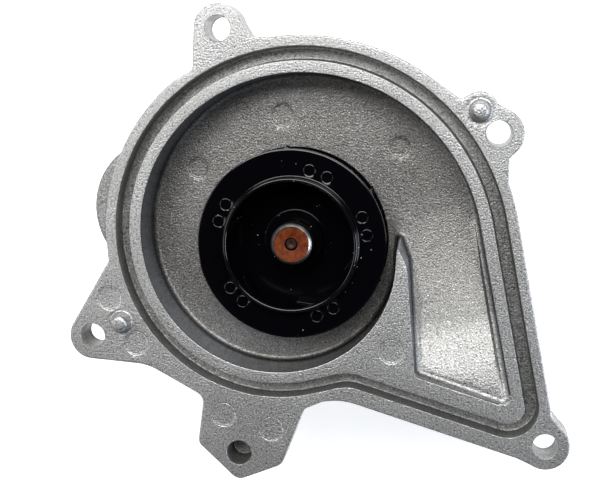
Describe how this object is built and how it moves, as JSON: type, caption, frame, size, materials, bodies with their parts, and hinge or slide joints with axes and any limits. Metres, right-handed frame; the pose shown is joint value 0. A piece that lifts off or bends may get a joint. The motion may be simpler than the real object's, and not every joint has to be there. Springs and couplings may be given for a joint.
{
  "type": "combustion air fan",
  "caption": "Die-cast volute housing with a closed radial impeller, a brushless motor and a rear electronics cover; it blows combustion air into a small heater.",
  "frame": {"origin": "on the shaft axis, level with the flange's sealing face", "axes": "+Z along the shaft out of the inlet eye, towards the missing front cover; +X to the right and +Y up when the fan is looked at from the front with the outlet at the lower right"},
  "size_m": [0.1281, 0.121, 0.0565],
  "materials": {
    "cast_aluminium": "shot-blasted die casting",
    "impeller_plastic": "glossy moulded black",
    "rusted_steel": "turned, with flash rust",
    "ground_steel": "ground",
    "bearing_steel": "polished",
    "cage_plastic": "moulded",
    "spring_steel": "phosphated",
    "lamination_steel": "stamped stack",
    "magnet": "sintered",
    "insulator_plastic": "moulded",
    "copper_wire": "enamelled copper wire",
    "plated_contacts": "tin-plated",
    "circuit_laminate": "lacquered laminate",
    "chip_plastic": "moulded",
    "capacitor_can": "sleeved can",
    "ferrite": "sintered",
    "zinc_screws": "zinc plated",
    "connector_plastic": "moulded black",
    "blue_rubber": "silicone",
    "black_rubber": "moulded"
  },
  "bodies": {
    "housing": {"volute_housing": "cast_aluminium", "shaft_seal_case": "ground_steel", "shaft_seal_lip": "black_rubber", "front_bearing_outer_ring": "bearing_steel", "front_bearing_shields": "ground_steel", "front_bearing_circlip": "spring_steel", "rear_bearing_outer_ring": "bearing_steel", "rear_bearing_shields": "ground_steel", "wave_washer": "spring_steel", "stator_core": "lamination_steel", "front_insulator": "insulator_plastic", "rear_insulator": "insulator_plastic", "stator_windings": "copper_wire", "phase_pins": "plated_contacts", "circuit_board": "circuit_laminate", "hall_sensors": "chip_plastic", "power_transistors": "chip_plastic", "control_chip": "chip_plastic", "capacitors": "capacitor_can", "filter_choke": "ferrite", "board_screws": "zinc_screws", "connector_body": "connector_plastic", "connector_pins": "plated_contacts", "connector_seal": "blue_rubber", "connector_screws": "zinc_screws", "rear_cover": "cast_aluminium", "cover_gasket": "black_rubber", "cover_screws": "zinc_screws", "vent_plug": "connector_plastic"},
    "rotor": {"impeller_backplate": "impeller_plastic", "impeller_shroud": "impeller_plastic", "hub_bush": "rusted_steel", "motor_shaft": "ground_steel", "front_bearing_inner_ring": "bearing_steel", "rear_bearing_inner_ring": "bearing_steel", "rotor_core": "lamination_steel", "rotor_magnets": "magnet"},
    "front_ball_set": {"front_bearing_cage": "cage_plastic", "front_bearing_balls": "bearing_steel"},
    "rear_ball_set": {"rear_bearing_cage": "cage_plastic", "rear_bearing_balls": "bearing_steel"}
  },
  "joints": [
    {"name": "rotor_spin", "type": "hinge", "parent": "housing", "child": "rotor", "pos_m": [0, 0, 0], "axis": [0, 0, 1], "continuous": true},
    {"name": "front_ball_set_spin", "type": "hinge", "parent": "housing", "child": "front_ball_set", "pos_m": [0, 0, -0.0198], "axis": [0, 0, 1], "continuous": true},
    {"name": "rear_ball_set_spin", "type": "hinge", "parent": "housing", "child": "rear_ball_set", "pos_m": [0, 0, -0.041], "axis": [0, 0, 1], "continuous": true}
  ],
  "couplings": [
    {"joint": "front_ball_set_spin", "follows": "rotor_spin", "ratio": 0.36667},
    {"joint": "rear_ball_set_spin", "follows": "rotor_spin", "ratio": 0.36667}
  ]
}
